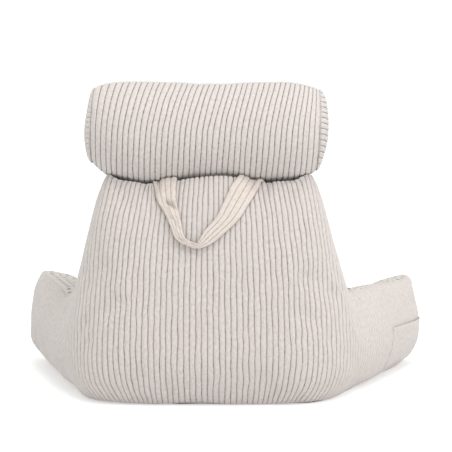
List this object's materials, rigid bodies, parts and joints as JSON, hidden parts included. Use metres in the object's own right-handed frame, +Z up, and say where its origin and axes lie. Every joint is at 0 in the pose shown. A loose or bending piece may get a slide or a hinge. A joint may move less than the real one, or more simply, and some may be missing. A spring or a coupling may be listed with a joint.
{
  "type": "backrest pillow with arms",
  "caption": "Filled corduroy backrest pillow with arms, a neck roll on top, a carrying handle on the back and a side pocket.",
  "frame": {"origin": "middle of the bounding box, on the surface that the pillow stands on", "axes": "+Z up; the back panel faces -Y and the arms reach towards +Y; +X runs across the pillow, to the right as seen from behind"},
  "size_m": [0.7418, 0.4416, 0.527],
  "materials": {
    "backrest": "cream plush corduroy",
    "neck_roll": "cream plush corduroy",
    "handle": "cream plush corduroy",
    "side_pocket": "cream plush corduroy"
  },
  "bodies": {
    "root": {"backrest": "backrest", "neck_roll": "neck_roll", "handle": "handle", "side_pocket": "side_pocket"}
  },
  "joints": []
}
